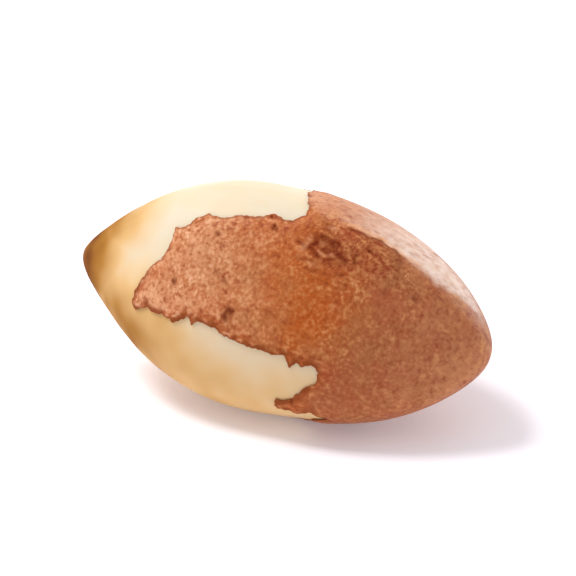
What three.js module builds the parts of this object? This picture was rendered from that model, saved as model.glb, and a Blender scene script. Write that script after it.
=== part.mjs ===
// A shelled Brazil nut: the ivory kernel, and the brown seed coat that has flaked off its bare end.
// Millimetres. +X runs along the nut to its skinned end, -Y is its front and +Z is up.
// Places on the nut are given as x along it and as an angle round it, from the front (0) up (90).
import * as THREE from "three";
import { mergeVertices } from "three/addons/utils/BufferGeometryUtils.js";

// Size and lengthwise form
const LENGTH = 36;
const HALF_LENGTH = LENGTH / 2;
const TAPER = 0.048; // how much slimmer the skinned half is
const BARE_END = { fullness: 1.31, bluntness: 2.7 };
const SKINNED_END = { fullness: 1.37, bluntness: 4.9 };
const PITCH = 0.95; // how far each end is above or below the middle
const SAG = -0.53; // how far both ends bend down
const BOW = 0.17; // how far both ends bend to the back

// Three crowned faces make the section: the angle each looks to, its reach and its crown's radius
const FACES = [
  { angle: 23, reach: 7.75, crown: 22 },
  { angle: 113, reach: 9.2, crown: 16 },
  { angle: -105, reach: 8.4, crown: 12.5 },
];
const RIDGE_SHARPNESS = 11; // in the middle: higher is a sharper ridge between two faces
const RIDGE_SHARPENING = 5; // added by the skinned end, taken off by the bare end

// Seed coat
const SKIN_THICKNESS = 0.3;
const SKIN_GAP = 0.1; // clear of the kernel

// Low waves of a surface: their height, and their length along the nut and across it
const GRAIN = { height: 0.05, along: 3.2, across: 2.2 }; // pebbling of the coat
const SWELL = { height: 0.13, along: 17, across: 11 }; // shallow hollows of the whole nut
const CREST = 1.5; // the highest that the sum of a wave's three products comes to

// Hollows, each with its place, its half sizes along and across and its depth
const SCAR = { x: 5.0, angle: 63, along: 2.0, across: 1.1, depth: 0.28 };
const PITS = [
  { x: 3.1, angle: 64, along: 0.7, across: 0.6, depth: 0.12 },
  { x: -1.5, angle: 14, along: 0.7, across: 0.6, depth: 0.12 },
];

// The tear of the coat, all the way round: x and angle of each point
// prettier-ignore
const TEAR = [
  [-10.5, -2], [-9.1, 26], [-7.8, 43], [-7.7, 55], [-6.2, 64], [-2.9, 66], [-0.1, 72],
  [2.3, 76], [1.9, 95], [3.5, 112], [1, 128], [-3.5, 145], [-2, 163], [1.5, 180], [3, 200],
  [-1.5, 215], [-7, 232], [-9.5, 250], [-8, 266], [-8.7, 278], [-5.5, 285], [-1, 288],
  [3, 294], [5.6, 303], [6.6, 314], [6.4, 321], [5.9, 325], [3, 331], [4.8, 337],
  [6.2, 343], [7.2, 349], [4.4, 352], [3.6, 357], [0.5, 358], [-1.8, 361], [-4.6, 363],
  [-6.4, 359],
];
const TEAR_RADIUS = 8.5; // turns degrees of the tear into millimetres
const TEETH = { height: 0.25, along: 2.6, across: 3.1 }; // waves of the tear itself

// Flat spot that the nut rests on
const FLAT_DEPTH = 0.4;

// Fineness of the faceted surfaces
const KERNEL_DETAIL = 12;
const SKIN_DETAIL = 17;
const MIDDLE_DENSITY = 0.2; // gathers the facets towards the middle
const LEAST_SPLIT = 0.12; // the smallest share of a facet's side that the tear cuts off

const radians = THREE.MathUtils.degToRad;

// Distance from the axis to one crowned face, in the direction of an angle in radians.
function faceReach(face, angle) {
  const turn = angle - radians(face.angle);
  const offset = face.crown - face.reach;
  const side = offset * Math.sin(turn);
  return Math.sqrt(face.crown ** 2 - side ** 2) - offset * Math.cos(turn);
}

// Radius of the section, where the nearest face rules and ridges are rounded off.
function sectionRadius(angle, s) {
  const power = RIDGE_SHARPNESS + RIDGE_SHARPENING * s;
  const sum = FACES.reduce((total, face) => total + faceReach(face, angle) ** -power, 0);
  return sum ** (-1 / power);
}

// Girth at s, from -1 at the bare tip to 1 at the skinned tip, as a share of the fullest.
function girth(s) {
  const end = s < 0 ? BARE_END : SKINNED_END;
  const belly = 1 - (s / end.fullness) ** 2;
  const tip = Math.sqrt(Math.max(0, 1 - Math.abs(s) ** end.bluntness));
  return belly * tip * (1 - TAPER * s);
}

// Seamless waves through space, between -1 and 1 times their height.
function waves(point, { height, along, across }) {
  const a = (2 * Math.PI * point.x) / along;
  const b = (2 * Math.PI * point.y) / across;
  const c = (2 * Math.PI * point.z) / across;
  const sum = Math.sin(a) * Math.cos(b) + Math.sin(b) * Math.cos(c) + Math.sin(c) * Math.cos(a);
  return (height * sum) / CREST;
}

// Depth of a round hollow at a place, fading out from its centre.
function hollow({ x, angle, along, across, depth }, place) {
  const dx = (place.x - x) / along;
  const da = (radians(place.angle - angle) * TEAR_RADIUS) / across;
  return depth * Math.exp(-(dx ** 2 + da ** 2));
}

// Point at s, at a turn in radians round the bent axis and a distance from it.
function pointAt(s, turn, radius) {
  return new THREE.Vector3(
    HALF_LENGTH * s,
    BOW * s * s - radius * Math.cos(turn),
    SAG * s * s - PITCH * s + radius * Math.sin(turn),
  );
}

// Point of the nut's surface for a direction of the unit sphere, with its place.
function surfacePoint(direction) {
  const s = direction.x * (1 - MIDDLE_DENSITY + MIDDLE_DENSITY * direction.x ** 2);
  const turn = Math.atan2(direction.z, -direction.y);
  const radius = sectionRadius(turn, s) * girth(s);
  const smooth = pointAt(s, turn, radius);
  const place = { x: smooth.x, angle: THREE.MathUtils.radToDeg(turn), smooth };
  const relief = girth(s) * waves(smooth, SWELL) - hollow(SCAR, place);
  return { point: pointAt(s, turn, radius + relief), place };
}

// The bare surface as triangles: points, outward normals, places and corner indices.
function bareSurface(detail) {
  const sphere = new THREE.IcosahedronGeometry(1, detail);
  sphere.deleteAttribute("normal");
  sphere.deleteAttribute("uv");
  const geometry = mergeVertices(sphere);
  const position = geometry.attributes.position;
  const places = [];
  for (let i = 0; i < position.count; i++) {
    const direction = new THREE.Vector3().fromBufferAttribute(position, i).normalize();
    const { point, place } = surfacePoint(direction);
    position.setXYZ(i, point.x, point.y, point.z);
    places.push(place);
  }
  geometry.computeVertexNormals();
  const vectors = (attribute) =>
    places.map((_, i) => new THREE.Vector3().fromBufferAttribute(attribute, i));
  return {
    points: vectors(position),
    normals: vectors(geometry.attributes.normal),
    places,
    corners: Array.from(geometry.index.array),
  };
}

// The surface moved out along its normals, by a distance that depends on the place.
function offsetPoints({ points, normals, places }, distance) {
  return points.map((p, i) => p.clone().addScaledVector(normals[i], distance(places[i])));
}

// Nothing is lower than a level: this is what flattens the spot that the nut rests on.
function flatten(points, level) {
  points.forEach((p) => (p.z = Math.max(p.z, level)));
}

// Signed distance in millimetres from the tear, above 0 where the coat is left.
function coatField({ x, angle, smooth }) {
  let nearest = Infinity;
  let covered = false;
  TEAR.forEach(([x0, angle0], i) => {
    const [x1, angle1] = TEAR[(i + 1) % TEAR.length];
    const span = THREE.MathUtils.euclideanModulo(angle1 - angle0 + 180, 360) - 180;
    const start = THREE.MathUtils.euclideanModulo(angle0 - angle + 180, 360) - 180;
    const across0 = radians(start) * TEAR_RADIUS;
    const across1 = radians(start + span) * TEAR_RADIUS;
    const run = new THREE.Line3(
      new THREE.Vector3(x0 - x, across0, 0),
      new THREE.Vector3(x1 - x, across1, 0),
    );
    const closest = run.closestPointToPoint(new THREE.Vector3(), true, new THREE.Vector3());
    nearest = Math.min(nearest, closest.length());
    if (across0 > 0 !== across1 > 0) {
      const crossing = x0 + ((x1 - x0) * across0) / (across0 - across1);
      if (crossing < x) covered = !covered;
    }
  });
  return (covered ? nearest : -nearest) + waves(smooth, TEETH);
}

// A closed geometry from points and corner indices.
function solidGeometry(points, corners) {
  const geometry = new THREE.BufferGeometry().setFromPoints(points);
  geometry.setIndex(corners);
  geometry.computeVertexNormals();
  return geometry;
}

// The coat: an outer and an inner sheet cut along the tear, with a wall between them.
function coatGeometry(surface, outer, inner) {
  const field = surface.places.map(coatField);
  const points = [];
  const corners = [];
  const made = new Map();
  // Index of the outer point at i, or between i and j at the tear; the inner point follows it.
  const pointOf = (i, j = i) => {
    const [a, b] = i < j ? [i, j] : [j, i];
    const key = a * surface.points.length + b;
    if (!made.has(key)) {
      const cut = field[a] / (field[a] - field[b]);
      const share = a === b ? 0 : THREE.MathUtils.clamp(cut, LEAST_SPLIT, 1 - LEAST_SPLIT);
      made.set(key, points.length);
      points.push(outer[a].clone().lerp(outer[b], share), inner[a].clone().lerp(inner[b], share));
    }
    return made.get(key);
  };
  for (let n = 0; n < surface.corners.length; n += 3) {
    const triangle = surface.corners.slice(n, n + 3);
    const kept = [];
    let leaving = -1;
    let entering = -1;
    triangle.forEach((i, k) => {
      const j = triangle[(k + 1) % 3];
      if (field[i] > 0) kept.push(pointOf(i));
      if (field[i] > 0 !== field[j] > 0) {
        const cut = pointOf(i, j);
        kept.push(cut);
        if (field[i] > 0) leaving = cut;
        else entering = cut;
      }
    });
    for (let k = 2; k < kept.length; k++) {
      const [a, b, c] = [kept[0], kept[k - 1], kept[k]];
      corners.push(a, b, c, a + 1, c + 1, b + 1);
    }
    if (leaving >= 0) {
      corners.push(entering, leaving, leaving + 1, entering, leaving + 1, entering + 1);
    }
  }
  return solidGeometry(points, corners);
}

// The nut's surface is the middle of the coat, and the kernel lies clear inside it.
const HALF_SKIN = SKIN_THICKNESS / 2;
const skinSurface = bareSurface(SKIN_DETAIL);
const skinInside = offsetPoints(skinSurface, () => -HALF_SKIN);
const skinOutside = offsetPoints(skinSurface, (place) => {
  const pitted = PITS.reduce((total, pit) => total + hollow(pit, place), 0);
  return HALF_SKIN + waves(place.smooth, GRAIN) - pitted;
});
const kernelSurface = bareSurface(KERNEL_DETAIL);
const kernelPoints = offsetPoints(kernelSurface, () => -HALF_SKIN - SKIN_GAP);

// The coat's lowest part is flattened for the nut to rest on, and what lies over it gives way.
const floor = Math.min(...skinOutside.map((p) => p.z)) + FLAT_DEPTH;
flatten(skinOutside, floor);
flatten(skinInside, floor + SKIN_THICKNESS);
flatten(kernelPoints, floor + SKIN_THICKNESS + SKIN_GAP);

const kernel = new THREE.Mesh(
  solidGeometry(kernelPoints, kernelSurface.corners),
  new THREE.MeshStandardMaterial({ color: 0xefdcb2, roughness: 0.42, metalness: 0 }),
);
kernel.name = "kernel";

const skin = new THREE.Mesh(
  coatGeometry(skinSurface, skinOutside, skinInside),
  new THREE.MeshStandardMaterial({ color: 0xac6a44, roughness: 0.68, metalness: 0 }),
);
skin.name = "skin";

// The nut stands on z = 0, with the middle of its box over the origin.
const nut = new THREE.Group();
nut.add(kernel, skin);
const box = new THREE.Box3().setFromObject(nut);
const middle = box.getCenter(new THREE.Vector3());
[kernel, skin].forEach((mesh) => mesh.geometry.translate(-middle.x, -middle.y, -floor));

export default nut;
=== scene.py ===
"""Looks of a shelled Brazil nut: its waxy kernel, and the seed coat that has flaked off one end.

Shapes are worked out in millimetres on the nut's bent axis, +X towards its skinned end and +Z up,
and are then moved to the frame and turned to metres. A place on the nut is its x along the axis
and its angle round it, from the front (0) up (90).
"""

import math
import random
from collections import namedtuple

import bmesh
import bpy
import numpy as np
from bpy.props import FloatProperty, FloatVectorProperty, IntProperty, PointerProperty
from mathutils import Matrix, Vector, noise


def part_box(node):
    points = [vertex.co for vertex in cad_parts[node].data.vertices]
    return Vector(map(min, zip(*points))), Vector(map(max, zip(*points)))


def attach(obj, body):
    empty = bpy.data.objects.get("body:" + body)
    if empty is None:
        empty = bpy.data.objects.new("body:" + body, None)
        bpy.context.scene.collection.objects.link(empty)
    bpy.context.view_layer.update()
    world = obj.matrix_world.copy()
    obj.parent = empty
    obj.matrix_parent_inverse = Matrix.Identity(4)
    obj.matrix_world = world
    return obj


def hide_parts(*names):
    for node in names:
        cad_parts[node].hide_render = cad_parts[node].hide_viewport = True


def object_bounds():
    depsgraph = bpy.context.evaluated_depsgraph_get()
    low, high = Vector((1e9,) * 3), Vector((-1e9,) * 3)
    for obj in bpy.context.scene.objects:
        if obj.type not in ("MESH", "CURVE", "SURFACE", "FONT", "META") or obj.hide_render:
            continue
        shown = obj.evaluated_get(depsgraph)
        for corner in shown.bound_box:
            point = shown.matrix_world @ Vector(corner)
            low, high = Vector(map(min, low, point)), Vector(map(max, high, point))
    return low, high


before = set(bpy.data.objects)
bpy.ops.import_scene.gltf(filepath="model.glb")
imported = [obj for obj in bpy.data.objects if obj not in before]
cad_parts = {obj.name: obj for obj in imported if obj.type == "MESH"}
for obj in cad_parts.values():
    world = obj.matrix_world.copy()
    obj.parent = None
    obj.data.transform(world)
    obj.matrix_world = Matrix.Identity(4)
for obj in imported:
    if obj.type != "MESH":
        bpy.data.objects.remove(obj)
CAD_LOW, CAD_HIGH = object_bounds()

bl_info = {
    "name": "Shelled Brazil Nut",
    "version": (1, 0, 0),
    "blender": (4, 5, 0),
    "location": "3D View > Sidebar > Nut",
    "description": "Builds the kernel, the torn seed coat and the studio of a shelled Brazil nut",
    "category": "Add Mesh",
}

MM = 0.001

# Form of the nut, in mm: how full and blunt each end is, the three crowned faces of its section, and
# how sharp the ridges between them are, in the middle and how much sharper at the skinned end
End = namedtuple("End", "fullness bluntness")
BARE_END = End(1.31, 2.7)
SKINNED_END = End(1.37, 4.9)
Face = namedtuple("Face", "angle reach crown")
FACES = (Face(23, 7.75, 22), Face(113, 9.2, 16), Face(-105, 8.4, 12.5))
RIDGE_SHARPNESS = 11
RIDGE_SHARPENING = 5
MIDDLE_DENSITY = 0.2  # gathers the faces towards the middle

# Low waves of the surface: height, length along the nut and length across it
Waves = namedtuple("Waves", "height along across")
SWELL = Waves(0.13, 17, 11)
GRAIN = Waves(0.05, 3.2, 2.2)
TEETH = Waves(0.1, 2.6, 3.1)
CREST = 1.5  # the most that the three waves add up to

# Patterns of noise: size in mm, octaves, and how far each is drawn out along the nut
Pattern = namedtuple("Pattern", "size octaves stretch", defaults=(1.0,))
FALLOFF = 0.7
LACUNARITY = 2.0
FURROWS = Pattern(2.0, 2, 5)
BLOTCHES = Pattern(3.0, 2)
WAVER = Pattern(0.9, 2)
WAVER_ALONG = 0.22  # mm
WAVER_ROUND = 1.6  # degrees
BIG_TEETH = Pattern(1.3, 3)
SMALL_TEETH = Pattern(0.45, 2)
CURLS = Pattern(2.4, 1)
CRUMBS = Pattern(0.46, 2)
FINE_WRINKLES = Pattern(1.3, 2, 0.28)
LONG_WRINKLES = Pattern(1.5, 3, 3.5)
SCAR_MOTTLES = Pattern(0.5, 2)
STREAKS = Pattern(0.8, 3, 0.4)
BORDER_RAVEL = Pattern(0.6, 2)
KNOBS = Pattern(0.8, 2)
DUST_CLOUDS = Pattern(2.2, 3)

# Rounded granules: size in mm, and how steeply they rise from the gaps between them
GRANULE_SIZE = 0.55
GRANULE_STEEPNESS = 2.4

# Patches: place on the nut, and half sizes along and across. A hollow is a patch with a depth
Patch = namedtuple("Patch", "x angle along across")
Hollow = namedtuple("Hollow", "x angle along across depth")
SCAR = Hollow(5.0, 63, 2.0, 1.1, 0.28)
PITS = (
    Hollow(3.84, 62.2, 0.32, 0.26, 0.24),
    Hollow(-0.5, 14, 0.46, 0.36, 0.2),
    Hollow(-0.9, 10.5, 0.3, 0.5, 0.1),
    Hollow(1.51, 63.9, 0.3, 0.22, 0.12),
    Hollow(0.9, 68.8, 0.2, 0.18, 0.08),
    Hollow(-2.9, 55, 0.22, 0.18, 0.08),
    Hollow(-2.2, 33.5, 0.24, 0.22, 0.12),
    Hollow(-1.45, 29.5, 0.16, 0.16, 0.08),
    Hollow(-5.9, 22.6, 0.2, 0.28, 0.08),
    Hollow(8.3, 60.8, 0.18, 0.3, 0.08),
    Hollow(9.0, 70.7, 0.3, 0.24, 0.08),
    Hollow(8.4, 64.2, 0.22, 0.16, 0.06),
    Hollow(7.5, 51.9, 0.3, 0.16, 0.06),
    Hollow(13.1, 58, 0.2, 0.3, 0.08),
)
# Painted shade along the kernel's lower ridge
SHADED_LOWER_RIDGE = Patch(-11.8, -36, 9, 8)
SCAR_STAIN = Patch(5.9, 62, 1.5, 1.0)
ROUGH_PATCH = Patch(8, 66, 3.6, 2.2)

# Small pits, scattered: how many, the ranges of their x and half width, how long they are for it, and how
# deep, and how dark their painted shade is
SMALL_PITS = 60
SMALL_PIT_SEED = 11
SMALL_PIT_X = (-9, 16)
SMALL_PIT_WIDTH = (0.1, 0.2)
SMALL_PIT_STRETCH = (0.9, 1.3)
SMALL_PIT_DEPTH = 0.35
SMALL_PIT_SHADE = 0.5
# Painted shade in the big and the small pits, and the shares of depth between which it darkens
PIT_SHADE = 0.9
PIT_EDGE = (1 / 6, 5 / 6)  # shares of a pit's depth between which it darkens

# Folds of the coat: the line that each follows, its half width and its height, and how dark its painted
# shade is, or below 0 how pale its painted highlight is
Fold = namedtuple("Fold", "points width height dark")
FOLDS = (
    # The crest of the upper ridge with a painted highlight, the crease below it with painted shade, and
    # where that turns down
    Fold(((6.2, 78), (7.15, 80), (8.7, 82.1), (9.9, 81.9), (10.9, 82.1), (12.2, 84)), 0.2, 0.1, -0.55),
    Fold(((6.9, 76.2), (7.5, 77.4), (8.6, 79), (9.6, 79.5), (10.5, 80.3), (11.1, 78.9)), 0.14, -0.08, 0.65),
    Fold(((11.1, 78.9), (11.3, 72.5), (11.4, 66), (11.1, 56), (10.9, 50)), 0.18, -0.04, 0.38),
    # The scar: its lip with a painted highlight, the hollows round it with painted shade, and the crumples
    # in it with painted shade and highlights
    Fold(((4.05, 57.7), (4.35, 62.2), (4.62, 65.7)), 0.12, 0.12, -0.8),
    Fold(((4.8, 62.4), (5.04, 63.8), (5.33, 66.9)), 0.19, -0.14, 1),
    Fold(((5.85, 68), (6.3, 67.9), (6.8, 67.5)), 0.17, -0.12, 0.95),
    Fold(((4.5, 60.6), (4.95, 58.9), (5.5, 56.6)), 0.18, -0.14, 1),
    Fold(((6.1, 56.9), (6.55, 56.8)), 0.16, -0.08, 0.85),
    Fold(((5.95, 60.8), (6.05, 62.8)), 0.13, -0.1, 0.95),
    Fold(((6.5, 61.9), (6.9, 61), (7.5, 60.2)), 0.2, -0.13, 1),
    Fold(((4.45, 68.2), (4.75, 66.2)), 0.13, -0.05, 0.5),
    Fold(((5.3, 60.8), (5.86, 58.3)), 0.13, 0.1, -0.5),
    Fold(((6.25, 60), (6.5, 59.2)), 0.14, 0.08, -0.45),
    Fold(((5.3, 63.2), (5.6, 65.2)), 0.11, 0.06, -0.4),
    # Creases about it, with painted shade in their hollows and painted highlights on their tops
    Fold(((4.1, 53.2), (5.2, 53.9), (5.7, 52.6)), 0.13, -0.05, 0.55),
    Fold(((4.75, 52.2), (5.2, 51.2)), 0.14, 0.05, -0.5),
    Fold(((5, 49.3), (5.6, 48.8)), 0.14, -0.05, 0.55),
    Fold(((5.24, 70.8), (5.8, 71.9)), 0.14, -0.05, 0.45),
    Fold(((5.85, 73.6), (6.15, 74.1)), 0.2, 0.05, -0.5),
    Fold(((5, 74.4), (5.7, 75.3)), 0.14, -0.05, 0.45),
)

# Faint lengthwise lines on the bare kernel
LINES = (
    Fold(((-15.2, 58), (-13, 66), (-10.6, 72)), 0.3, -0.02, 0.24),
    Fold(((-14.2, 55), (-12.4, 60), (-10.4, 63)), 0.4, -0.02, 0.2),
    Fold(((-12, -70), (-6, -58), (0, -52)), 0.3, -0.02, 0.3),
    Fold(((-15, 150), (-12, 157), (-8, 158)), 0.36, -0.02, 0.12),
)

# Lower border of the pale bloom, which is dust with painted sheen, on the upper face: x and angle
BLOOM_SHEEN_BORDER = (
    (2.5, 84), (5, 78), (7.2, 79), (9, 81), (11, 80.5), (12, 80.5), (14, 79), (15.5, 92), (16.2, 104),
)
RAVELLING = 0.25  # mm

# Between these, in x, the border softens, and the bloom with its painted sheen thickens and ends; and it
# ends at the back between these angles. It spills over its border by a share of its softness, in mm
SOFT_BORDER = (10.5, 12.5)
BLOOM_SHEEN_START = (5, 11.5)
BLOOM_SHEEN_END = (17.5, 15.5)
BLOOM_SHEEN_BACK = (155, 120)
BLOOM_SHEEN_LEAST = 0.1
BLOOM_SHEEN_SPILL = 0.3
BORDER_SOFTNESS = 0.4
BORDER_SOFTENING = 1.5

# How thick the bloom with its painted sheen is on average, how much this changes with its streaks and with
# the crumbs, and the least and the most that it gets
BLOOM_SHEEN_AVERAGE = 0.7
BLOOM_SHEEN_STREAKING = 0.5
BLOOM_SHEEN_ON_CRUMBS = 0.2
BLOOM_SHEEN_RANGE = (0.05, 0.92)

# Pinkish dust, at the torn end, at the skinned end and as a halo round the bloom and its painted sheen:
# where each starts and is full, in x, and how thick it is
TORN_DUST_X = (5, -6)
TORN_DUST = 0.8
END_DUST_X = (10, 17)
END_DUST = 0.45
HALO_DUST = 0.6
HALO_SPILL = 0.6
EVEN_DUST = 0.8
CLOUDY_DUST = 0.4

# The torn edge: how wide and dark its rim is, in its own darker colour, more so at knobs, and below, between
# these angles, where painted shade widens and darkens it more and a margin of the coat is clean of dust
Rim = namedtuple("Rim", "width dark")
RIM = Rim(0.12, 0.42)
RIM_KNOBS = Rim(0.1, 0.25)
LOWER_RIM_SHADE = Rim(0.08, 0.33)
LOWER_SHADE_KNOB_WIDTH = 0.32
RIM_REACH = 1.3
LOWER_EDGE_TOP = (30, 10)
LOWER_EDGE_END = (-70, -50)
MARGIN = 1.3
MARGIN_CLEAN = 0.7

# Crumbs of the coat: calmer on the skinned half, rougher about the scar, and across the skinned end
# finely wrinkled. Each pair is where the change starts and is full, in x
CALM = 0.2
CALM_HALF = (-1, 8)
ROUGH = 0.8
GRANULE_SHARE = 0.2
WRINKLE_SHARE = 0.7
WRINKLED_END = (11, 15)
EVEN_CRUMBS = 0.6
PATCHY_CRUMBS = 0.4
SPOT_CONTRAST = 0.9
LONG_WRINKLE_HEIGHT = 0.06

# Stain of the scar: how dark it is, and how much of that is left on average and at least, and how much
# this changes with its mottles
SCAR_DARK = 0.85
SCAR_AVERAGE = 0.75
SCAR_LEAST = 0.25
SCAR_MOTTLING = 0.9

# Stains and painted shade of the kernel, from 0, ivory, to 1, brown: where each starts and where it is full,
# in x, and how strong it is. The bare tip's is natural browning with painted shade, and the top's, the lower
# ridge's and the underside's are painted shade. The underside's is between two strengths, and fades towards
# its front and back
TIP_STAIN_AND_SHADE = (-8.5, -16.5)
TOP_SHADE = (-7.8, -14.3)
TOP_FACING = (0.3, 1)  # how far up a place faces
TOP_SHADE_STRENGTH = 0.64
RIDGE_SHADE_STRENGTH = 0.62
UNDERSIDE_SHADE = (11, -7)
UNDERSIDE_SHADE_STRENGTH = (0.2, 0.36)
UNDERSIDE_FRONT = (12, -33)
UNDERSIDE_BACK = (-150, -110)
EVEN_STAIN_AND_SHADE = 0.95
BLOTCHED_STAIN_AND_SHADE = 0.28

# The tear of the coat all the way round: x and angle of each point
TEAR = (
    # Its front edge, up from the tip of the coat
    (-9.95, -2.4), (-9.85, 8.8), (-9.15, 19.3), (-8.7, 27.3), (-7.7, 34.2), (-7, 47.2), (-6.95, 54.6),
    (-5.55, 56.7), (-5.1, 60.8), (-4.1, 63.6), (-3.3, 62.4), (-0.8, 66.6), (1.3, 70), (2.6, 71),
    (3.4, 75.7), (3.3, 80.3), (2.8, 86),
    # Over the top, down the back and underneath
    (2.1, 98), (1.6, 112), (1.1, 124), (0.5, 135), (-3, 146), (-2.2, 163), (1.5, 180), (3, 200),
    (-1.5, 215), (-7, 232), (-9.5, 250), (-8, 266), (-8.7, 278), (-5.5, 285), (-1, 288), (3, 294),
    (5.6, 303), (6, 315.5),
    # The tongue and the gulf above it
    (7.2, 319), (6.4, 326), (5.3, 323.6), (4.8, 327.1), (3.7, 326), (3.3, 329), (3.7, 332.5),
    (4.4, 332.3), (5.1, 334.2), (5.55, 338.2), (6.8, 343.1), (7.35, 350.3), (6.6, 353.7),
    (5.75, 350.6), (5.3, 353), (4.8, 349.4), (4.3, 357.3), (3.15, 355),
    # The lower edge, back to the tip
    (2.2, 356.4), (0.5, 358.1), (-0.7, 359.7), (-2.3, 363.1), (-3.2, 364.4), (-3.75, 361.2), (-4.35, 363.5),
    (-5.55, 358.5), (-6.2, 359.6), (-7.65, 358.3), (-8.25, 360.9), (-9.5, 354.6),
)
TEAR_RADIUS = 8.5  # turns angles into millimetres across
TEAR_FIELD = "tear"

# Small teeth of the tear: their heights, how near the tear they start, how ragged it is at its back and
# how much less at its front. The front faces this angle, and starts and is full at these cosines
BIG_TOOTH = 0.2
SMALL_TOOTH = 0.22
TEETH_REACH = 2
BACK_RAGGEDNESS = 1.6
FRONT_CALM = 0.95
FRONT_ANGLE = 15
FRONT_FACING = (-0.6, 0.4)

LEAST_SPLIT = 0.1  # the smallest share of an edge that the tear cuts off
LAST_CUTS = 6  # cuts of each edge of the coat's ball, after its subdivisions

# Layers, in mm from the nut's middle surface
COAT_INSIDE = -0.15
KERNEL_SURFACE = -0.25
KERNEL_AT_TEAR = -0.1
COAT_INSIDE_AT_TEAR = -0.07
CLEARANCE = 0.01

# Along the tear, in mm: how far out the kernel swells, how far under the coat it stays so, how wide
# the coat's thin edge is, how high it curls up and how much relief it keeps, and where furrows start
KERNEL_SWELL_WIDTH = 2.6
SWELL_UNDER_COAT = 0.1
EDGE_WIDTH = 0.9
CURL = 0.06
CURLED_SHARE = 0.15
EDGE_RELIEF = 0.3
FURROW_START = 1.5

# Levels that the layers are flattened to where the nut rests, in mm above the floor
KERNEL_REST = 0.4
COAT_INSIDE_REST = 0.3

FIT_STEPS = 181  # how closely the nut's box is measured
SMOOTH_ANGLE = math.radians(50)
FLOOR_RADIUS = 2.5
HALF_SENSOR = 18  # mm


def linear(hex_colour):
    """Linear RGBA of an sRGB hex colour."""
    channels = [int(hex_colour[i : i + 2], 16) / 255 for i in (0, 2, 4)]
    return (*(c / 12.92 if c <= 0.04045 else ((c + 0.055) / 1.055) ** 2.4 for c in channels), 1)


class NutForm(bpy.types.PropertyGroup):
    """Sizes of the nut as a whole."""

    length: FloatProperty(
        name="Length", description="From tip to tip along the nut", default=36 * MM, unit="LENGTH",
        precision=4,
    )
    pitch: FloatProperty(
        name="Pitch", description="How far each end is above or below the middle", default=0.95 * MM,
        unit="LENGTH", precision=5,
    )
    sag: FloatProperty(
        name="Sag", description="How far both ends bend up", default=-0.53 * MM, unit="LENGTH", precision=5
    )
    bow: FloatProperty(
        name="Bow", description="How far both ends bend to the back", default=0.17 * MM, unit="LENGTH",
        precision=5,
    )
    taper: FloatProperty(
        name="Taper", description="How much slimmer the skinned half is", default=0.048, min=0, max=0.3
    )


class KernelLook(bpy.types.PropertyGroup):
    """Fineness and colours of the kernel."""

    subdivisions: IntProperty(
        name="Subdivisions", description="Fineness of the surface", default=7, min=3, max=8
    )
    furrows: FloatProperty(
        name="Furrows", description="Height of the faint lengthwise furrows", default=0.03 * MM,
        unit="LENGTH", precision=6,
    )
    ivory: FloatVectorProperty(
        name="Ivory", description="Main colour", default=linear("DDD1B9"), size=4, subtype="COLOR"
    )
    # Cream: the kernel's own faint mottles, and painted shade on its underside
    cream: FloatVectorProperty(
        name="Cream", description="Colour of its faint mottles and of its underside",
        default=linear("E4BC80"), size=4, subtype="COLOR",
    )
    # Amber: painted shade on the lower ridge, and natural browning with painted shade towards the bare tip
    amber: FloatVectorProperty(
        name="Amber", description="Colour of the lower ridge, and towards the bare tip",
        default=linear("AB7322"), size=4, subtype="COLOR",
    )
    # Brown: natural browning of the bare tip with painted shade
    brown: FloatVectorProperty(
        name="Brown", description="Colour of the bare tip", default=linear("662E05"), size=4,
        subtype="COLOR",
    )


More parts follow.
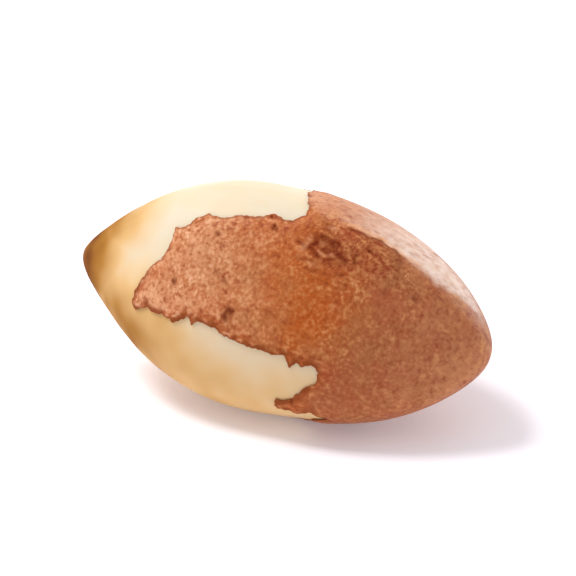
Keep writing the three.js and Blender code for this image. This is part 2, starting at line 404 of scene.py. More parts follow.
class CoatLook(bpy.types.PropertyGroup):
    """Sizes and colours of the seed coat."""

    subdivisions: IntProperty(
        name="Subdivisions", description="Fineness before the last cuts", default=5, min=3, max=7
    )
    thickness: FloatProperty(
        name="Thickness", description="Of the whole coat", default=0.3 * MM, unit="LENGTH", precision=5
    )
    edge_share: FloatProperty(
        name="Edge", description="Share of the thickness that is left at the tear", default=0.36, min=0.05,
        max=1, subtype="FACTOR",
    )
    crumbs: FloatProperty(
        name="Crumbs", description="Height of the fine crumbs", default=0.035 * MM, unit="LENGTH",
        precision=6,
    )
    kept: FloatProperty(
        name="Kept faces", description="Share of the faces kept as the hidden inside is thinned",
        default=0.68, min=0.5, max=1, subtype="FACTOR",
    )
    reddish: FloatVectorProperty(
        name="Reddish", description="Reddish brown patches", default=linear("A65530"), size=4,
        subtype="COLOR",
    )
    orange: FloatVectorProperty(
        name="Orange", description="Orange brown patches", default=linear("B25517"), size=4, subtype="COLOR"
    )
    olive: FloatVectorProperty(
        name="Olive tan", description="Duller patches", default=linear("A9713F"), size=4, subtype="COLOR"
    )
    pinkish: FloatVectorProperty(
        name="Pinkish tan", description="Dusty patches", default=linear("D79A6E"), size=4, subtype="COLOR"
    )
    # Fleck: painted highlight on the tops of the crumbs at the torn end
    fleck_highlight: FloatVectorProperty(
        name="Fleck", description="Tops of the crumbs at the torn end", default=linear("F6C29C"), size=4,
        subtype="COLOR",
    )
    # Peach: painted highlight on the tops of the folds
    peach_highlight: FloatVectorProperty(
        name="Peach", description="Tops of the folds", default=linear("EFAE7E"), size=4, subtype="COLOR"
    )
    # Tawny: painted highlight on the tops of the crumbs elsewhere
    tawny: FloatVectorProperty(
        name="Tawny", description="Tops of the crumbs elsewhere", default=linear("DE9A62"), size=4,
        subtype="COLOR",
    )
    # Gap: painted shade between the crumbs
    gap: FloatVectorProperty(
        name="Gap", description="Between the crumbs", default=linear("8A3410"), size=4, subtype="COLOR"
    )
    # Rim: the torn edge's own darker colour, also laid as painted shade along its lower edge
    rim: FloatVectorProperty(
        name="Rim", description="The torn edge", default=linear("8A3F0C"), size=4, subtype="COLOR"
    )
    # Dark: painted shade in pits and creases, and the scar's own stain
    dark: FloatVectorProperty(
        name="Dark", description="Pits and creases", default=linear("601702"), size=4, subtype="COLOR"
    )
    # Bloom: pale dust on the upper face, with painted sheen where the light grazes it
    bloom_and_sheen: FloatVectorProperty(
        name="Bloom", description="Pale dust on the upper face", default=linear("ECD5C6"), size=4,
        subtype="COLOR",
    )


class StageLook(bpy.types.PropertyGroup):
    """Camera, light and floor."""

    azimuth: FloatProperty(
        name="Azimuth", description="Of the camera round the nut", default=math.radians(26), subtype="ANGLE"
    )
    elevation: FloatProperty(
        name="Elevation", description="Of the camera above the horizon", default=math.radians(24),
        subtype="ANGLE",
    )
    lens: FloatProperty(name="Lens", description="Focal length in millimetres", default=300, min=20)
    framed: FloatProperty(
        name="Framed", description="Width of the picture at the nut", default=46 * MM, unit="LENGTH",
        precision=4,
    )
    floor: FloatVectorProperty(
        name="Floor", description="Colour of the floor", default=linear("F2F0F6"), size=4, subtype="COLOR"
    )
    glow: FloatProperty(name="Glow", description="Strength of the light in the floor", default=0.22, min=0)
    sky: FloatProperty(name="Sky", description="Strength of the white surroundings", default=0.6, min=0)


def face_reach(face, turn):
    """Distance from the axis to one crowned face, for angles in radians."""
    offset = face.crown - face.reach
    away = turn - math.radians(face.angle)
    return np.sqrt(face.crown**2 - (offset * np.sin(away)) ** 2) - offset * np.cos(away)


def section_radius(turn, s):
    """Radius of the section: the nearest face rules, and the ridges between faces are rounded."""
    power = RIDGE_SHARPNESS + RIDGE_SHARPENING * s
    return sum(face_reach(face, turn) ** -power for face in FACES) ** (-1 / power)


def girth(s, taper):
    """Girth at s, from -1 at the bare tip to 1 at the skinned tip, as a share of the fullest."""
    fullness = np.where(s < 0, BARE_END.fullness, SKINNED_END.fullness)
    bluntness = np.where(s < 0, BARE_END.bluntness, SKINNED_END.bluntness)
    tip = np.sqrt(np.maximum(0, 1 - np.abs(s) ** bluntness))
    return (1 - (s / fullness) ** 2) * tip * (1 - taper * s)


def wave_height(points, waves):
    """Height of seamless waves at points."""
    a = 2 * np.pi * points[:, 0] / waves.along
    b = 2 * np.pi * points[:, 1] / waves.across
    c = 2 * np.pi * points[:, 2] / waves.across
    return waves.height / CREST * (np.sin(a) * np.cos(b) + np.sin(b) * np.cos(c) + np.sin(c) * np.cos(a))


def offsets(places, point):
    """How far a point of x and angle is from each place, in mm along the nut and across it."""
    turned = (point[1] - places.angle + 180) % 360 - 180
    return point[0] - places.x, np.radians(turned) * TEAR_RADIUS


def patch_share(patch, places):
    """How strong a patch or hollow is at places, from 0 to 1 at its centre."""
    along, across = offsets(places, (patch.x, patch.angle))
    return np.exp(-((along / patch.along) ** 2 + (across / patch.across) ** 2))


def segment_distance(places, start, end):
    """Distance in mm of places from a straight line between two points of x and angle."""
    along, across = offsets(places, start)
    run_along = end[0] - start[0]
    run_across = math.radians((end[1] - start[1] + 180) % 360 - 180) * TEAR_RADIUS
    share = -(along * run_along + across * run_across) / (run_along**2 + run_across**2)
    share = np.clip(share, 0, 1)
    return np.hypot(along + share * run_along, across + share * run_across)


def fold_share(fold, places):
    """How high a fold is at places, from 0 to 1 on its line."""
    nearest = np.full(len(places.x), np.inf)
    for start, end in zip(fold.points, fold.points[1:]):
        nearest = np.minimum(nearest, segment_distance(places, start, end))
    return np.exp(-((nearest / fold.width) ** 2))


Places = namedtuple("Places", "x angle smooth")


def nut_surface(directions, form):
    """The nut's middle surface for unit directions: its points and their places."""
    s = directions[:, 0] * (1 - MIDDLE_DENSITY + MIDDLE_DENSITY * directions[:, 0] ** 2)
    turn = np.arctan2(directions[:, 2], -directions[:, 1])
    pitch, sag, bow = form.pitch / MM, form.sag / MM, form.bow / MM

    def point_at(radius):
        return np.stack(
            [
                form.length / MM / 2 * s,
                bow * s * s - radius * np.cos(turn),
                sag * s * s - pitch * s + radius * np.sin(turn),
            ],
            axis=1,
        )

    radius = section_radius(turn, s) * girth(s, form.taper)
    smooth = point_at(radius)
    places = Places(smooth[:, 0], np.degrees(turn), smooth)
    relief = girth(s, form.taper) * wave_height(smooth, SWELL) - SCAR.depth * patch_share(SCAR, places)
    return point_at(radius + relief), places


def frame_shift(form):
    """What moves the nut from its axis to the frame, in mm, from the frame's own kernel."""
    low, high = (np.array(corner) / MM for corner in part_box("kernel"))
    steps = np.linspace(-1, 1, FIT_STEPS)
    s, turn = np.meshgrid(steps, np.pi * steps)
    flat = np.sqrt(1 - s.ravel() ** 2)
    directions = np.stack([s.ravel(), -flat * np.cos(turn.ravel()), flat * np.sin(turn.ravel())], axis=1)
    points, _ = nut_surface(directions, form)
    lowest, highest = points.min(axis=0), points.max(axis=0)
    shift = (low + high) / 2 - (lowest + highest) / 2
    shift[2] = high[2] - (highest[2] + KERNEL_SURFACE)
    return shift


def tear_distance(places):
    """Signed distance in mm from the tear, above 0 where the coat is left."""
    nearest = np.full(len(places.x), np.inf)
    covered = np.zeros(len(places.x), bool)
    for start, end in zip(TEAR, TEAR[1:] + TEAR[:1]):
        nearest = np.minimum(nearest, segment_distance(places, start, end))
        along, across = offsets(places, start)
        run_across = math.radians((end[1] - start[1] + 180) % 360 - 180) * TEAR_RADIUS
        passes = (across > 0) != (across + run_across > 0)
        with np.errstate(divide="ignore", invalid="ignore"):
            crossing = along - (end[0] - start[0]) * across / run_across
        covered ^= passes & (crossing < 0)
    return np.where(covered, nearest, -nearest) + wave_height(places.smooth, TEETH)


def fractal(points, pattern):
    """A pattern of noise at points, about -1 to 1."""
    size = Vector((1 / (pattern.size * pattern.stretch), 1 / pattern.size, 1 / pattern.size))
    values = [noise.fractal(Vector(p) * size, FALLOFF, LACUNARITY, pattern.octaves) for p in points.tolist()]
    return np.array(values)


def waver(places):
    """The same places, moved about a little, so that lines drawn by them waver."""
    along = WAVER_ALONG * fractal(places.smooth, WAVER)
    turned = WAVER_ROUND * fractal(places.smooth[:, ::-1], WAVER)
    return Places(places.x + along, places.angle + turned, places.smooth)


def granules(points):
    """Rounded granules with narrow gaps between them, from -1 in a gap to 1 on top."""
    heights = []
    for p in points.tolist():
        near, next_near = noise.voronoi(Vector(p) / GRANULE_SIZE)[0][:2]
        heights.append(min(1.0, GRANULE_STEEPNESS * (next_near - near)))
    return 2 * np.array(heights) - 1


def ramp(value, start, end):
    """Share of the way from start to end, from 0 to 1."""
    return np.clip((value - start) / (end - start), 0, 1)


def ease(share):
    """The same share, with a soft start and a soft end."""
    share = np.clip(share, 0, 1)
    return share * share * (3 - 2 * share)


def coordinates(mesh):
    """Places of a mesh's vertices as an array."""
    values = np.empty(len(mesh.vertices) * 3, np.float32)
    mesh.vertices.foreach_get("co", values)
    return values.reshape(-1, 3).astype(float)


def set_coordinates(mesh, points):
    """Moves a mesh's vertices."""
    mesh.vertices.foreach_set("co", points.astype(np.float32).ravel())
    mesh.update()


def normals_of(mesh):
    """Normals of a mesh's vertices as an array."""
    values = np.empty(len(mesh.vertices) * 3, np.float32)
    mesh.vertex_normals.foreach_get("vector", values)
    return values.reshape(-1, 3).astype(float)


def set_attribute(mesh, name, values):
    """Keeps a number for each vertex, which a material reads."""
    attribute = mesh.attributes.get(name) or mesh.attributes.new(name, "FLOAT", "POINT")
    attribute.data.foreach_set("value", values.astype(np.float32))


def add_ball(name, subdivisions):
    """A ball of even triangles, alone selected and active, with radius 1."""
    bpy.ops.object.select_all(action="DESELECT")
    bpy.ops.mesh.primitive_ico_sphere_add(subdivisions=subdivisions, radius=1)
    ball = bpy.context.object
    ball.name = ball.data.name = name
    return ball


def directions_of(mesh):
    """Unit directions of a ball's vertices."""
    points = coordinates(mesh)
    return points / np.linalg.norm(points, axis=1)[:, None]


def fine_tear_distance(places):
    """The signed distance from the tear, with its small teeth."""
    plain = tear_distance(places)
    near = np.abs(plain) < TEETH_REACH
    points = places.smooth[near]
    teeth = np.zeros(len(plain))
    teeth[near] = BIG_TOOTH * fractal(points, BIG_TEETH) + SMALL_TOOTH * fractal(points, SMALL_TEETH)
    facing = np.cos(np.radians(places.angle - FRONT_ANGLE))
    return plain + teeth * (BACK_RAGGEDNESS - FRONT_CALM * ease(ramp(facing, *FRONT_FACING)))


def cut_bare_part(mesh, form):
    """Cuts a ball along the tear and leaves its covered part, with each vertex's distance from the tear."""
    _, places = nut_surface(directions_of(mesh), form)
    field = fine_tear_distance(places)
    build = bmesh.new()
    build.from_mesh(mesh)
    tear = build.verts.layers.float.new(TEAR_FIELD)
    for vertex, value in zip(build.verts, field):
        vertex[tear] = value
    crossing = [e for e in build.edges if (e.verts[0][tear] > 0) != (e.verts[1][tear] > 0)]
    cuts = []
    for edge in crossing:
        start, end = edge.verts
        share = start[tear] / (start[tear] - end[tear])
        _, cut = bmesh.utils.edge_split(edge, start, min(max(share, LEAST_SPLIT), 1 - LEAST_SPLIT))
        cut[tear] = 0
        cuts.append(cut)
    bmesh.ops.connect_verts(build, verts=cuts)
    bare = [f for f in build.faces if min(v[tear] for v in f.verts) < 0]
    bmesh.ops.delete(build, geom=bare, context="FACES")
    keep_largest(build)
    build.to_mesh(mesh)
    build.free()


def keep_largest(build):
    """Deletes all but the largest connected sheet."""
    unseen = set(build.faces)
    sheets = []
    while unseen:
        sheet = {unseen.pop()}
        waiting = list(sheet)
        while waiting:
            face = waiting.pop()
            for edge in face.edges:
                for other in edge.link_faces:
                    if other in unseen:
                        unseen.remove(other)
                        sheet.add(other)
                        waiting.append(other)
        sheets.append(sheet)
    largest = max(sheets, key=len)
    loose = [f for sheet in sheets if sheet is not largest for f in sheet]
    bmesh.ops.delete(build, geom=loose, context="FACES")


def apply_modifier(piece, kind, **settings):
    """Adds a modifier with its settings to the active piece and applies it."""
    modifier = piece.modifiers.new(kind.title(), kind)
    for name, value in settings.items():
        setattr(modifier, name, value)
    bpy.ops.object.modifier_apply(modifier=modifier.name)


def finish_piece(piece, points, shift, node, material):
    """Moves a piece to its place in the frame, smooths its shading, gives it its material, attaches it to
    the root body and hides the CAD part that it stands for.
    """
    set_coordinates(piece.data, (points + shift) * MM)
    bpy.ops.object.shade_smooth_by_angle(angle=SMOOTH_ANGLE)
    piece.data.materials.append(material)
    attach(piece, "root")
    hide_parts(node)


def add_node(tree, kind, inputs=(), **settings):
    """A new shader node with its settings; an input is given a value, or an output to link to."""
    made = tree.nodes.new("ShaderNode" + kind)
    for name, value in settings.items():
        setattr(made, name, value)
    for name, value in dict(inputs).items():
        if isinstance(value, bpy.types.NodeSocket):
            tree.links.new(value, made.inputs[name])
        else:
            made.inputs[name].default_value = value
    return made


def new_material(name):
    """An empty material, its tree, its shader and a vector of millimetres on the object."""
    material = bpy.data.materials.new(name)
    material.use_nodes = True
    tree = material.node_tree
    shader = tree.nodes["Principled BSDF"]
    place = add_node(tree, "TexCoord").outputs["Object"]
    mm = add_node(tree, "VectorMath", {0: place, "Scale": 1 / MM}, operation="SCALE").outputs[0]
    return material, tree, shader, mm


# Inputs and output of a Mix node that mixes colours, which share their names with its others
SHARE, MIX_A, MIX_B, MIX_OUT = 0, 6, 7, 2

# Inputs of a Map Range node: its value, the range that this comes from and the range that it goes to
VALUE, LOW, HIGH, TO_LOW, TO_HIGH = range(5)


def kernel_material(look):
    """Brazil nut flesh: a dense oily seed with a smooth, slightly waxy skin of its own.

    Light goes a little way in, so it glows softly, and it shines gently along its length.
    """
    material, tree, shader, mm = new_material("waxy_brazil_nut_flesh")
    shader.inputs["IOR"].default_value = 1.46
    shader.inputs["Specular IOR Level"].default_value = 0.18
    shader.inputs["Subsurface Weight"].default_value = 0.2
    shader.inputs["Subsurface Radius"].default_value = (1.0, 0.55, 0.25)
    shader.inputs["Subsurface Scale"].default_value = 1.2 * MM
    # Broad mottles, 3 mm across and drawn out along the nut as its fibres are
    mottle_mm = add_node(tree, "VectorMath", {0: mm, 1: (0.35, 1, 1)}, operation="MULTIPLY").outputs[0]
    mottles = add_node(tree, "TexNoise", {"Vector": mottle_mm, "Scale": 1 / 3.0, "Detail": 3}).outputs[0]
    mottles = add_node(tree, "MapRange", {VALUE: mottles, LOW: 0.4, HIGH: 0.7, TO_HIGH: 0.35}).outputs[0]
    colour = add_node(
        tree, "Mix", {SHARE: mottles, MIX_A: look.ivory, MIX_B: look.cream}, data_type="RGBA"
    ).outputs[MIX_OUT]
    # Painted shade makes the underside creamier and the lower ridge amber, and the bare tip turns from amber
    # to brown, natural browning with painted shade
    stain_and_shade = add_node(tree, "Attribute", attribute_name="stain_and_shade").outputs["Fac"]
    for low, high, stain in ((-0.02, 0.34, look.cream), (0.1, 0.7, look.amber), (0.5, 1.05, look.brown)):
        share = add_node(
            tree, "MapRange", {VALUE: stain_and_shade, LOW: low, HIGH: high}, interpolation_type="SMOOTHSTEP"
        ).outputs[0]
        colour = add_node(
            tree, "Mix", {SHARE: share, MIX_A: colour, MIX_B: stain}, data_type="RGBA"
        ).outputs[MIX_OUT]
    tree.links.new(colour, shader.inputs["Base Color"])
    # The brown tip is drier and duller
    rough = {VALUE: stain_and_shade, LOW: 0.4, HIGH: 1, TO_LOW: 0.48, TO_HIGH: 0.95}
    tree.links.new(add_node(tree, "MapRange", rough).outputs[0], shader.inputs["Roughness"])
    # Faint fibres, 0.5 mm wide
    fibre_mm = add_node(tree, "VectorMath", {0: mm, 1: (0.12, 1, 1)}, operation="MULTIPLY").outputs[0]
    fibres = add_node(tree, "TexNoise", {"Vector": fibre_mm, "Scale": 1 / 0.5, "Detail": 2}).outputs[0]
    bump = add_node(tree, "Bump", {"Strength": 0.25, "Distance": 0.02 * MM, "Height": fibres})
    tree.links.new(bump.outputs[0], shader.inputs["Normal"])
    return material


def coat_material(look):
    """Seed coat of a Brazil nut: a dry papery skin, finely granular, dusty where it is oldest.

    Its crumbs carry painted highlights on their tops and painted shade between them, its pits and creases
    painted shade, and the pale bloom on its upper face is dust with painted sheen; it has a low satin sheen.
    """
    material, tree, shader, mm = new_material("dry_seed_coat")
    shader.inputs["IOR"].default_value = 1.45
    shader.inputs["Specular IOR Level"].default_value = 0.2
    shader.inputs["Sheen Weight"].default_value = 0.09
    shader.inputs["Sheen Roughness"].default_value = 0.3
    shader.inputs["Sheen Tint"].default_value = linear("F6CDB0")
    pit_shade_and_stain, fold_highlight, crumb_height, dust, bloom_and_sheen, rugged, edge = (
        add_node(tree, "Attribute", attribute_name=name).outputs["Fac"]
        for name in ("pit_shade_and_stain", "fold_highlight", "crumb_height", "dust", "bloom_and_sheen", "rugged", "edge")
    )
    # Mottles about 7 mm and 2 mm across
    broad = add_node(tree, "TexNoise", {"Vector": mm, "Scale": 1 / 7, "Detail": 3}).outputs[0]
    small = add_node(tree, "TexNoise", {"Vector": mm, "Scale": 1 / 2.2, "Detail": 4}).outputs[0]
    small = add_node(tree, "MapRange", {VALUE: small, LOW: 0.36, HIGH: 0.64}).outputs[0]
    # More orange about the middle and more reddish towards the skinned tip
    along = add_node(tree, "SeparateXYZ", {0: mm}).outputs["X"]
    ruddy = {VALUE: along, LOW: 3.0, HIGH: 13.0, TO_LOW: -0.3, TO_HIGH: 0.3}
    ruddy = add_node(tree, "MapRange", ruddy).outputs[0]
    ruddy = add_node(tree, "Math", {0: broad, 1: ruddy}, operation="ADD").outputs[0]
    ruddy = add_node(tree, "MapRange", {VALUE: ruddy, LOW: 0.3, HIGH: 0.62}).outputs[0]
    colour = add_node(
        tree, "Mix", {SHARE: ruddy, MIX_A: look.orange, MIX_B: look.reddish}, data_type="RGBA"
    ).outputs[MIX_OUT]
    # Duller patches about 3 mm across, broken up to about 0.5 mm
    dull = add_node(
        tree, "TexNoise", {"Vector": mm, "W": 4, "Scale": 1 / 3, "Detail": 5, "Roughness": 0.7},
        noise_dimensions="4D",
    ).outputs[0]
    dull = add_node(tree, "MapRange", {VALUE: dull, LOW: 0.42, HIGH: 0.66, TO_HIGH: 0.5}).outputs[0]
    # Painted highlights on the tops of the crumbs and painted shade between them, from their heights, with
    # random tone down to specks about 0.3 mm wide
    speck = add_node(tree, "TexNoise", {"Vector": mm, "Scale": 1 / 0.3, "Detail": 3}).outputs[0]
    speck = {VALUE: speck, LOW: 0.3, HIGH: 0.7, TO_LOW: -1.8, TO_HIGH: 1.8}
    speck = add_node(tree, "MapRange", speck).outputs[0]
    speck = add_node(tree, "Math", {0: speck, 1: rugged}, operation="MULTIPLY").outputs[0]
    tone = add_node(tree, "Math", {0: crumb_height, 1: speck}, operation="ADD").outputs[0]
    highlight_and_tone = add_node(tree, "MapRange", {VALUE: tone, LOW: 0.0, HIGH: 2.2, TO_HIGH: 0.72}).outputs[0]
    shade_and_tone = add_node(tree, "MapRange", {VALUE: tone, LOW: -0.2, HIGH: -2.5, TO_HIGH: 0.75}).outputs[0]
    # The painted highlights on the tops are paler still at the torn end and in some mottles, and left out of
    # pits
    torn_end = add_node(tree, "MapRange", {VALUE: along, LOW: 3.0, HIGH: -5.0}).outputs[0]
    top = add_node(
        tree, "Mix", {SHARE: torn_end, MIX_A: look.tawny, MIX_B: look.fleck_highlight}, data_type="RGBA"
    ).outputs[MIX_OUT]
    flecked = add_node(tree, "MapRange", {VALUE: small, TO_LOW: 0.35, TO_HIGH: 1.0}).outputs[0]
    highlight_and_tone = add_node(tree, "Math", {0: highlight_and_tone, 1: flecked}, operation="MULTIPLY").outputs[0]
    clean = {VALUE: pit_shade_and_stain, LOW: 0.0, HIGH: 0.6, TO_LOW: 1.0, TO_HIGH: 0.0}
    clean = add_node(tree, "MapRange", clean).outputs[0]
    highlight_and_tone = add_node(tree, "Math", {0: highlight_and_tone, 1: clean}, operation="MULTIPLY").outputs[0]
    # Over the patches go duller mottles, dust over the ends, painted shade between the crumbs and painted
    # highlights on their tops, paler bloom with painted sheen in streaks on the upper face, painted
    # highlights on the folds, the torn edge darkened with painted shade below, and painted shade in pits and
    # creases with the scar's own stain
    layers = (
        (dull, look.olive), (dust, look.pinkish), (shade_and_tone, look.gap), (highlight_and_tone, top),
        (bloom_and_sheen, look.bloom_and_sheen), (fold_highlight, look.peach_highlight), (edge, look.rim), (pit_shade_and_stain, look.dark),
    )
    for share, layer in layers:
        colour = add_node(
            tree, "Mix", {SHARE: share, MIX_A: colour, MIX_B: layer}, data_type="RGBA"
        ).outputs[MIX_OUT]
    tree.links.new(colour, shader.inputs["Base Color"])
    # The roughness changes with the small mottles, and pits hardly shine
    rough = add_node(tree, "MapRange", {VALUE: small, TO_LOW: 0.48, TO_HIGH: 0.62}).outputs[0]
    rough = add_node(tree, "MapRange", {VALUE: clean, TO_LOW: 0.95, TO_HIGH: rough}).outputs[0]
    tree.links.new(rough, shader.inputs["Roughness"])
    # Grit about 0.25 mm wide, just coarse enough to show
    grit = add_node(tree, "TexNoise", {"Vector": mm, "Scale": 1 / 0.25, "Detail": 2}).outputs[0]
    grit = add_node(tree, "Math", {0: grit, 1: rugged}, operation="MULTIPLY").outputs[0]
    bump = add_node(tree, "Bump", {"Strength": 1, "Distance": 0.09 * MM, "Height": grit})
    tree.links.new(bump.outputs[0], shader.inputs["Normal"])
    return material


def kernel_stain_and_shade(places):
    """How stained and shaded the kernel is at places, from 0, ivory, to 1, brown: natural browning with
    painted shade at the bare tip, and painted shade on top of the bare end, along the lower ridge and
    underneath.
    """
    x, angle = places.x, places.angle
    tip = ramp(x, *TIP_STAIN_AND_SHADE) ** 2
    facing_up = ease(ramp(np.sin(np.radians(angle)), *TOP_FACING))
    top = TOP_SHADE_STRENGTH * ramp(x, *TOP_SHADE) * facing_up
    shaded_lower_ridge = RIDGE_SHADE_STRENGTH * patch_share(SHADED_LOWER_RIDGE, places)
    least, most = UNDERSIDE_SHADE_STRENGTH
    underside = least + (most - least) * ramp(x, *UNDERSIDE_SHADE)
    underside *= ease(ramp(angle, *UNDERSIDE_FRONT)) * ease(ramp(angle, *UNDERSIDE_BACK))
    blotches = EVEN_STAIN_AND_SHADE + BLOTCHED_STAIN_AND_SHADE * fractal(places.smooth, BLOTCHES)
    return np.maximum.reduce([tip, top, shaded_lower_ridge, underside]) * blotches


class NUT_OT_kernel(bpy.types.Operator):
    """Model the kernel."""

    bl_idname = "nut.kernel"
    bl_label = "Kernel"

    def execute(self, context):
        form, look = context.scene.nut_form, context.scene.nut_kernel
        kernel = add_ball("kernel_flesh", look.subdivisions)
        mesh = kernel.data
        surface, places = nut_surface(directions_of(mesh), form)
        set_coordinates(mesh, surface)
        normals = normals_of(mesh)
        tear = tear_distance(places)
        # The flesh stands a little higher along the tear, where the thin edge of the coat is bonded to it
        bare_side = ease(1 + tear / KERNEL_SWELL_WIDTH)
        covered_side = ease(1 - (tear - SWELL_UNDER_COAT) / EDGE_WIDTH)
        raised = np.where(tear < 0, bare_side, covered_side)
        depth = KERNEL_SURFACE + (KERNEL_AT_TEAR - KERNEL_SURFACE) * raised
        bare = ease(-tear / FURROW_START)
        furrows = look.furrows / MM * bare * fractal(places.smooth, FURROWS)
        points = surface + normals * (depth + furrows - CLEARANCE)[:, None]
        shift = frame_shift(form)
        # Natural browning and painted shade of the kernel; the faint lines after it are its own marks
        stain_and_shade = kernel_stain_and_shade(places)
        wavering = waver(places)
        for line in LINES:
            share = fold_share(line, wavering)
            stain_and_shade = np.maximum(stain_and_shade, line.dark * share)
            points += normals * (line.height * share)[:, None]
        points[:, 2] = np.maximum(points[:, 2], KERNEL_REST - shift[2])
        set_attribute(mesh, "stain_and_shade", np.clip(stain_and_shade, 0, 1))
        finish_piece(kernel, points, shift, "kernel", kernel_material(look))
        return {"FINISHED"}


def spots(points, pattern):
    """Soft-edged spots of a pattern at points, from 0 to 1."""
    return ease(0.5 + SPOT_CONTRAST * fractal(points, pattern))


def coat_crumbs(places):
    """How rugged the coat is at places, and the height of its crumbs, about 0 and mostly within 1."""
    points, x = places.smooth, places.x
    rugged = 1 - CALM * ease(ramp(x, *CALM_HALF)) + ROUGH * patch_share(ROUGH_PATCH, places)
    crumbs = fractal(points, CRUMBS) + GRANULE_SHARE * granules(points)
    crumbs += WRINKLE_SHARE * ease(ramp(x, *WRINKLED_END)) * fractal(points, FINE_WRINKLES)
    crumbs = (crumbs - crumbs.mean()) / crumbs.std()
    return rugged, crumbs * rugged * (EVEN_CRUMBS + PATCHY_CRUMBS * spots(points, BLOTCHES))


def small_pits():
    """Small hollows scattered over the coat."""
    draw = random.Random(SMALL_PIT_SEED)
    pits = []
    for _ in range(SMALL_PITS):
        size = draw.uniform(*SMALL_PIT_WIDTH)
        x = draw.uniform(*SMALL_PIT_X)
        angle = draw.uniform(0, 360)
        length = size * draw.uniform(*SMALL_PIT_STRETCH)
        pits.append(Hollow(x, angle, length, size, size * SMALL_PIT_DEPTH))
    return pits


def dust_bloom_and_sheen(places, wavering, crumbs):
    """How thick pinkish dust lies on the coat at places, and the paler bloom, which is dust with painted
    sheen.
    """
    points, x = places.smooth, places.x
    border = np.interp(wavering.x, *zip(*BLOOM_SHEEN_BORDER))
    above = np.radians(wavering.angle - border) * TEAR_RADIUS + RAVELLING * fractal(points, BORDER_RAVEL)
    softness = BORDER_SOFTNESS + BORDER_SOFTENING * ease(ramp(x, *SOFT_BORDER))
    in_front = ease(ramp(places.angle, *BLOOM_SHEEN_BACK))
    bloom_and_sheen = ease(above / softness + BLOOM_SHEEN_SPILL) * in_front * ease(ramp(x, *BLOOM_SHEEN_END))
    bloom_and_sheen *= BLOOM_SHEEN_LEAST + (1 - BLOOM_SHEEN_LEAST) * ease(ramp(x, *BLOOM_SHEEN_START))
    streaked = BLOOM_SHEEN_AVERAGE + BLOOM_SHEEN_STREAKING * fractal(points, STREAKS) + BLOOM_SHEEN_ON_CRUMBS * crumbs
    bloom_and_sheen *= np.clip(streaked, *BLOOM_SHEEN_RANGE)
    dust = np.maximum(TORN_DUST * ramp(x, *TORN_DUST_X), END_DUST * ramp(x, *END_DUST_X))
    dust = np.maximum(dust, HALO_DUST * ease(above / (2 * softness) + HALO_SPILL) * in_front)
    return dust * (EVEN_DUST + CLOUDY_DUST * fractal(points, DUST_CLOUDS)), bloom_and_sheen


def rim_shade(places, tear):
    """How dark the torn edge is at places, its own darker colour with painted shade added along the lower
    edge, and how clean of dust the coat is along its lower edge.
    """
    lower = ease(ramp(places.angle, *LOWER_EDGE_TOP)) * ease(ramp(places.angle, *LOWER_EDGE_END))
    knobs = spots(places.smooth, KNOBS)
    width = RIM.width + RIM_KNOBS.width * knobs + (LOWER_RIM_SHADE.width + LOWER_SHADE_KNOB_WIDTH * knobs) * lower
    dark = RIM.dark + RIM_KNOBS.dark * knobs + LOWER_RIM_SHADE.dark * lower
    return dark * ease(RIM_REACH - tear / width), MARGIN_CLEAN * ease(1 - tear / MARGIN) * lower


def coat_relief(places, tear, look):
    """Relief of the coat's outside in mm, and what its material reads at each place."""
    points = places.smooth
    rugged, crumbs = coat_crumbs(places)
    relief = wave_height(points, GRAIN) + look.crumbs / MM * crumbs
    relief += LONG_WRINKLE_HEIGHT * fractal(points, LONG_WRINKLES)
    mottled = np.clip(SCAR_AVERAGE - SCAR_MOTTLING * fractal(points, SCAR_MOTTLES), SCAR_LEAST, 1)
    pit_shade_and_stain = SCAR_DARK * mottled * patch_share(SCAR_STAIN, places)
    fold_highlight = np.zeros(len(points))
    wavering = waver(places)
    # Folds add painted shade in their hollows and painted highlights on their tops, which clear the scar's
    # own stain
    for fold in FOLDS:
        share = fold_share(fold, wavering)
        relief += fold.height * share
        if fold.dark > 0:
            pit_shade_and_stain = np.maximum(pit_shade_and_stain, fold.dark * share)
        else:
            pit_shade_and_stain *= 1 - share
            fold_highlight = np.maximum(fold_highlight, -fold.dark * share)
    # Hollows get painted shade
    for hollows, dark in ((PITS, PIT_SHADE), (small_pits(), SMALL_PIT_SHADE)):
        for hollow in hollows:
            share = patch_share(hollow, wavering)
            relief -= hollow.depth * share
            pit_shade_and_stain = np.maximum(pit_shade_and_stain, dark * ease(ramp(share, *PIT_EDGE)))
    dust, bloom_and_sheen = dust_bloom_and_sheen(places, wavering, crumbs)
    # The torn edge darkens, in its own colour and with painted shade along its lower edge
    edge, clean = rim_shade(places, tear)
    dust = np.clip(dust * (1 - clean), 0, 1)
    marks = {
        "pit_shade_and_stain": pit_shade_and_stain, "fold_highlight": fold_highlight, "crumb_height": crumbs, "dust": dust, "bloom_and_sheen": bloom_and_sheen, "rugged": rugged,
        "edge": edge,
    }
    return relief, marks


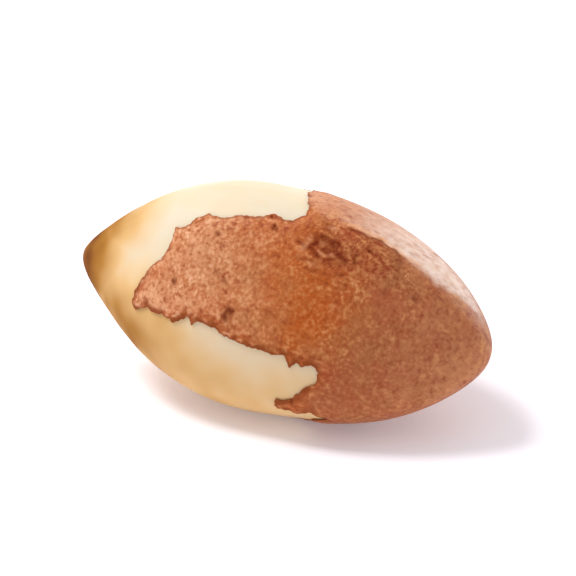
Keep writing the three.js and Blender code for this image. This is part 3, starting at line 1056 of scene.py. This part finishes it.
class NUT_OT_coat(bpy.types.Operator):
    """Model the seed coat, torn off one end of the kernel."""

    bl_idname = "nut.coat"
    bl_label = "Seed coat"

    def execute(self, context):
        form, look = context.scene.nut_form, context.scene.nut_coat
        coat = add_ball("seed_coat", look.subdivisions)
        bpy.ops.object.mode_set(mode="EDIT")
        bpy.ops.mesh.select_all(action="SELECT")
        bpy.ops.mesh.subdivide(number_cuts=LAST_CUTS)
        bpy.ops.object.mode_set(mode="OBJECT")
        mesh = coat.data
        cut_bare_part(mesh, form)
        surface, places = nut_surface(directions_of(mesh), form)
        set_coordinates(mesh, surface)
        normals = normals_of(mesh)
        tear = np.empty(len(mesh.vertices), np.float32)
        mesh.attributes[TEAR_FIELD].data.foreach_get("value", tear)
        mesh.attributes.remove(mesh.attributes[TEAR_FIELD])
        inland = ease(tear / EDGE_WIDTH)
        depth = COAT_INSIDE_AT_TEAR + (COAT_INSIDE - COAT_INSIDE_AT_TEAR) * inland
        shift = frame_shift(form)
        inside = surface + normals * depth[:, None]
        inside[:, 2] = np.maximum(inside[:, 2], COAT_INSIDE_REST - shift[2])
        set_coordinates(mesh, inside)
        count = len(mesh.vertices)
        share = look.edge_share + (1 - look.edge_share) * inland
        full = coat.vertex_groups.new(name="full_thickness")
        for i, weight in enumerate(share.tolist()):
            full.add([i], weight, "REPLACE")
        apply_modifier(
            coat, "SOLIDIFY", thickness=look.thickness / MM, offset=1, vertex_group="full_thickness"
        )
        if len(mesh.vertices) != 2 * count:
            raise RuntimeError("the coat's two sides don't match")
        points = coordinates(mesh)
        relief, marks = coat_relief(places, tear, look)
        lift = CURL * np.clip(fractal(places.smooth, CURLS) + CURLED_SHARE, 0, 1) * (1 - inland)
        height = relief * (EDGE_RELIEF + (1 - EDGE_RELIEF) * inland) + lift
        outside = points[count:] + normals * height[:, None]
        outside[:, 2] = np.maximum(outside[:, 2], -shift[2])
        points[count:] = outside
        for name, values in marks.items():
            set_attribute(mesh, name, np.tile(values, 2))
        set_coordinates(mesh, points)
        hidden = coat.vertex_groups.new(name="inside")
        hidden.add(np.flatnonzero(tear > EDGE_WIDTH).tolist(), 1, "REPLACE")
        apply_modifier(coat, "DECIMATE", ratio=look.kept, vertex_group="inside")
        finish_piece(coat, coordinates(mesh), shift, "skin", coat_material(look))
        return {"FINISHED"}


def direction(azimuth, elevation):
    """Unit vector from the nut towards a camera or light."""
    flat = math.cos(elevation)
    return Vector((math.sin(azimuth) * flat, -math.cos(azimuth) * flat, math.sin(elevation)))


# Soft boxes: azimuth and elevation in degrees, distance and size in metres, power in watts
SoftBox = namedtuple("SoftBox", "name azimuth elevation distance size power")
SOFT_BOXES = (
    SoftBox("key", -85, 60, 0.5, 0.2, 2.0),
    SoftBox("back", 204, 20, 0.5, 0.5, 0.42),
    SoftBox("rim", 160, 12, 0.5, 0.12, 0.5),
)


class NUT_OT_stage(bpy.types.Operator):
    """Set up the floor, the soft light and the camera."""

    bl_idname = "nut.stage"
    bl_label = "Studio"

    def execute(self, context):
        look, scene = context.scene.nut_stage, context.scene
        bpy.ops.object.select_all(action="DESELECT")
        bpy.ops.mesh.primitive_circle_add(vertices=96, radius=FLOOR_RADIUS, fill_type="NGON")
        floor = context.object
        floor.name = "floor"
        material, _, shader, _ = new_material("backlit_white_acrylic")
        shader.inputs["Base Color"].default_value = look.floor
        shader.inputs["Roughness"].default_value = 0.9
        shader.inputs["Emission Color"].default_value = look.floor
        shader.inputs["Emission Strength"].default_value = look.glow
        floor.data.materials.append(material)
        for box in SOFT_BOXES:
            away = direction(math.radians(box.azimuth), math.radians(box.elevation))
            bpy.ops.object.light_add(type="AREA", location=away * box.distance)
            lamp = context.object
            lamp.name = box.name + "_light"
            lamp.rotation_euler = away.to_track_quat("Z", "Y").to_euler()
            lamp.data.size = box.size
            lamp.data.energy = box.power
            lamp.visible_camera = False
        scene.world = bpy.data.worlds.new("white_surroundings")
        scene.world.use_nodes = True
        sky = scene.world.node_tree.nodes["Background"]
        sky.inputs["Color"].default_value = linear("FFFDFE")
        sky.inputs["Strength"].default_value = look.sky
        scene.view_settings.view_transform = "Standard"
        away = direction(look.azimuth, look.elevation)
        middle = (CAD_LOW + CAD_HIGH) / 2
        half_view = math.atan(HALF_SENSOR / look.lens)
        bpy.ops.object.camera_add(location=middle + away * (look.framed / 2 / math.tan(half_view)))
        camera = context.object
        camera.name = "camera"
        camera.rotation_euler = away.to_track_quat("Z", "Y").to_euler()
        camera.data.lens = look.lens
        camera.data.clip_start = 0.01
        scene.camera = camera
        return {"FINISHED"}


class NUT_PT_sidebar(bpy.types.Panel):
    """Lists the pieces of the nut with their sizes and colours."""

    bl_idname = "NUT_PT_sidebar"
    bl_label = "Shelled Brazil Nut"
    bl_space_type = "VIEW_3D"
    bl_region_type = "UI"
    bl_category = "Nut"

    def draw(self, context):
        for operator, group in STEPS:
            box = self.layout.box()
            box.operator(operator.bl_idname)
            settings = getattr(context.scene, group)
            for name in settings.__annotations__:
                box.prop(settings, name)


GROUPS = {"nut_form": NutForm, "nut_kernel": KernelLook, "nut_coat": CoatLook, "nut_stage": StageLook}
STEPS = ((NUT_OT_stage, "nut_stage"), (NUT_OT_kernel, "nut_kernel"), (NUT_OT_coat, "nut_coat"))
CLASSES = (*GROUPS.values(), *(operator for operator, _ in STEPS), NUT_PT_sidebar)


def register():
    """Adds the classes and the settings that they read."""
    for item in CLASSES:
        bpy.utils.register_class(item)
    for name, group in GROUPS.items():
        setattr(bpy.types.Scene, name, PointerProperty(type=group))


def unregister():
    """Takes them out again."""
    for name in GROUPS:
        delattr(bpy.types.Scene, name)
    for item in reversed(CLASSES):
        bpy.utils.unregister_class(item)


def main():
    """Builds everything."""
    register()
    bpy.ops.nut.stage()
    bpy.ops.nut.kernel()
    bpy.ops.nut.coat()


if __name__ == "__main__":
    main()
